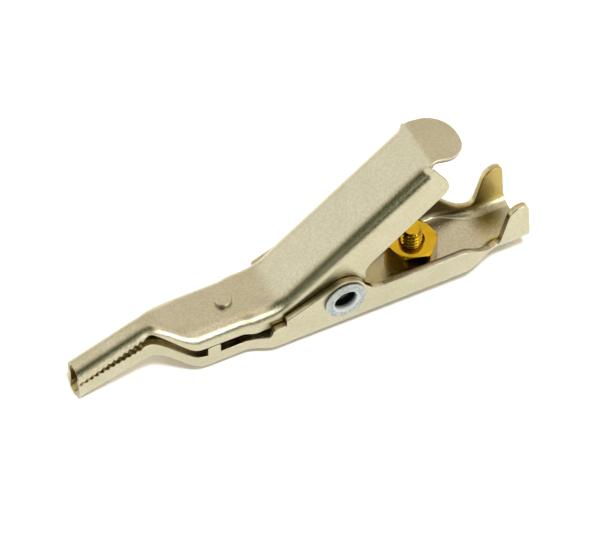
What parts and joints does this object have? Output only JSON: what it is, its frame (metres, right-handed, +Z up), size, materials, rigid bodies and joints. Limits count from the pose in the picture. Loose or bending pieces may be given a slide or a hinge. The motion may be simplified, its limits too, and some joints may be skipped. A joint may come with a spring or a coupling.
{
  "type": "crocodile test clip",
  "caption": "Sprung sheet-metal crocodile clip with an angled toothed nose, thumb lever, brass terminal screw and crimp tail.",
  "frame": {"origin": "on the flat underside of the lower jaw's floor, straight below the pivot axis", "axes": "+X towards the crimp tail, -X towards the toothed nose, +Y along the pivot axis, +Z up through the lever"},
  "size_m": [0.0634, 0.0118, 0.0249],
  "materials": {
    "nickel_plate": "satin nickel plate",
    "zinc_rivet": "dull zinc plate",
    "spring_steel": "drawn wire",
    "brass": "bright machined brass"
  },
  "bodies": {
    "lower_body": {"lower_jaw": "nickel_plate", "pivot_rivet": "zinc_rivet", "torsion_spring": "spring_steel"},
    "upper_body": {"upper_jaw": "nickel_plate", "contact_pin": "nickel_plate"},
    "screw_body": {"terminal_screw": "brass"},
    "nut_body": {"terminal_nut": "brass"}
  },
  "joints": [
    {"name": "jaw_pivot", "type": "hinge", "parent": "lower_body", "child": "upper_body", "pos_m": [0, 0, 0.0052], "axis": [0, 1, 0], "range_deg": [0, 30], "deforming": ["torsion_spring"]},
    {"name": "screw_turn", "type": "hinge", "parent": "lower_body", "child": "screw_body", "pos_m": [0.01235, 0, 0], "axis": [0, 0, 1], "range_deg": [-905, 0]},
    {"name": "nut_travel", "type": "slide", "parent": "lower_body", "child": "nut_body", "axis": [0, 0, 1], "range_m": [0, 0.00159]}
  ],
  "couplings": [
    {"joint": "screw_turn", "follows": "nut_travel", "rad_per_m": -9894.8}
  ]
}
